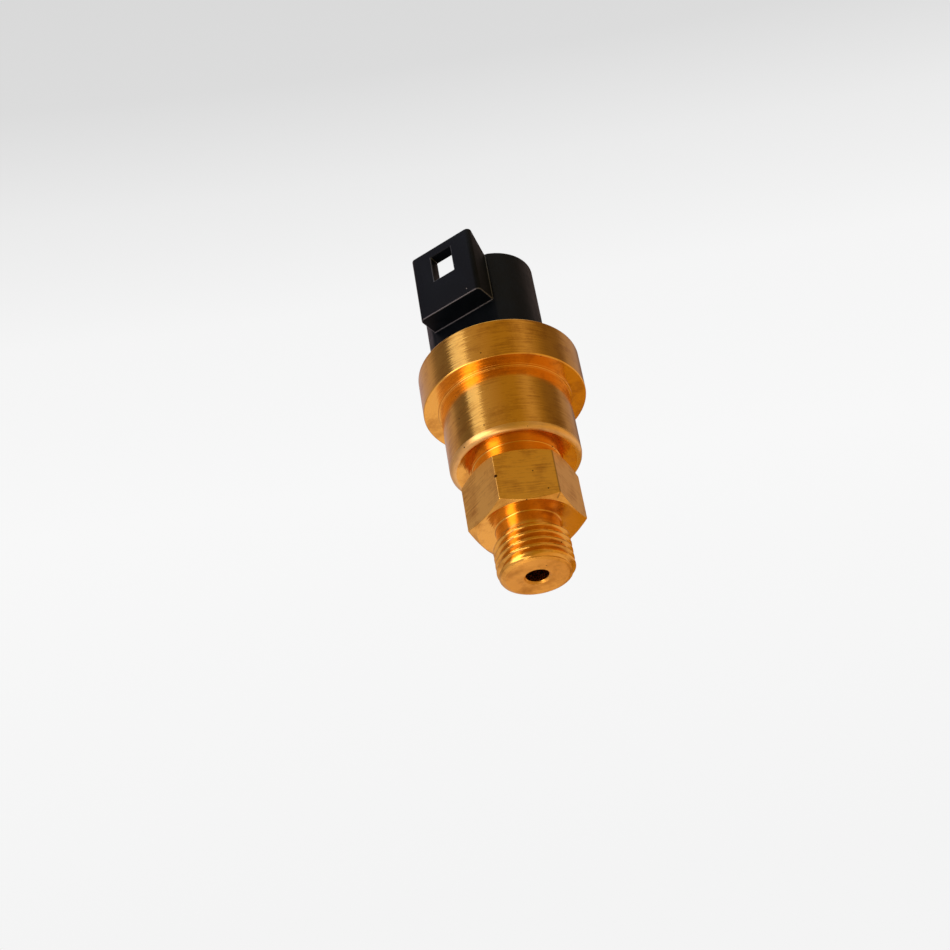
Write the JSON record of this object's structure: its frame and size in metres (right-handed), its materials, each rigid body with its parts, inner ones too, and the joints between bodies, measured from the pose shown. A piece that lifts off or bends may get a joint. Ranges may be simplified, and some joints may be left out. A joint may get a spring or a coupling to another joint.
{
  "type": "pressure switch",
  "caption": "Brass pressure switch with a hexagon and threaded port stud below, a stepped round barrel and collar, and a black three-way plug socket with a latch box on top.",
  "frame": {"origin": "where the port axis meets the sealing face under the hexagon", "axes": "+Z along the port axis from the stud towards the socket; -Y towards the latch box; +X across the row of terminals"},
  "size_m": [0.0314, 0.0314, 0.071],
  "materials": {
    "turned_brass": "free-cutting brass, turned and milled, bare, with fine turning rings and light handling wear",
    "turned_brass_insert": "turned brass, bare",
    "sleeve_brass": "turned brass, bare",
    "nut_brass": "turned brass, bare",
    "sintered_bronze": "sintered bronze, porous and matt",
    "nitrile_rubber": "moulded black nitrile rubber",
    "polyimide_film": "amber polyimide film, smooth",
    "machined_steel": "zinc plated turned steel",
    "stainless_piston": "turned stainless steel",
    "ceramic_pin": "white glazed ceramic",
    "pin_cap_steel": "turned stainless steel",
    "spring_wire": "oil tempered spring wire",
    "base_plastic": "brown phenolic moulding",
    "arm_bronze": "stamped phosphor bronze",
    "silver_contacts": "fine silver, polished",
    "tinned_terminals": "tin plated brass strip",
    "pivot_steel": "ground stainless steel",
    "epoxy_potting": "cured black epoxy",
    "black_polyamide": "black glass-filled polyamide, moulded, satin"
  },
  "bodies": {
    "switch_body": {"port_body": "turned_brass", "port_filter": "sintered_bronze", "port_snubber": "turned_brass_insert", "diaphragm_seal": "nitrile_rubber", "diaphragm": "polyimide_film", "clamp_ring": "machined_steel", "spring_sleeve": "sleeve_brass", "range_spring": "spring_wire", "adjusting_nut": "nut_brass", "switch_base": "base_plastic", "terminal_nc": "tinned_terminals", "contact_nc": "silver_contacts", "terminal_no": "tinned_terminals", "contact_no": "silver_contacts", "terminal_com": "tinned_terminals", "pivot_pin": "pivot_steel", "terminal_potting": "epoxy_potting", "connector_housing": "black_polyamide", "housing_seal": "nitrile_rubber"},
    "piston_group": {"piston": "stainless_piston", "operating_pin": "ceramic_pin", "pin_cap": "pin_cap_steel"},
    "contact_lever": {"contact_arm": "arm_bronze", "moving_contact": "silver_contacts"}
  },
  "joints": [
    {"name": "piston_slide", "type": "slide", "parent": "switch_body", "child": "piston_group", "axis": [0, 0, 1], "range_m": [0, 0.0005], "stiffness_N_per_m": 4000, "springref_m": -0.0002, "deforming": ["range_spring"]},
    {"name": "contact_pivot", "type": "hinge", "parent": "switch_body", "child": "contact_lever", "pos_m": [0.007, 0, 0.034], "axis": [0, 1, 0], "range_deg": [0, 4.1]}
  ],
  "couplings": [
    {"joint": "contact_pivot", "follows": "piston_slide", "rad_per_m": 142.86}
  ]
}
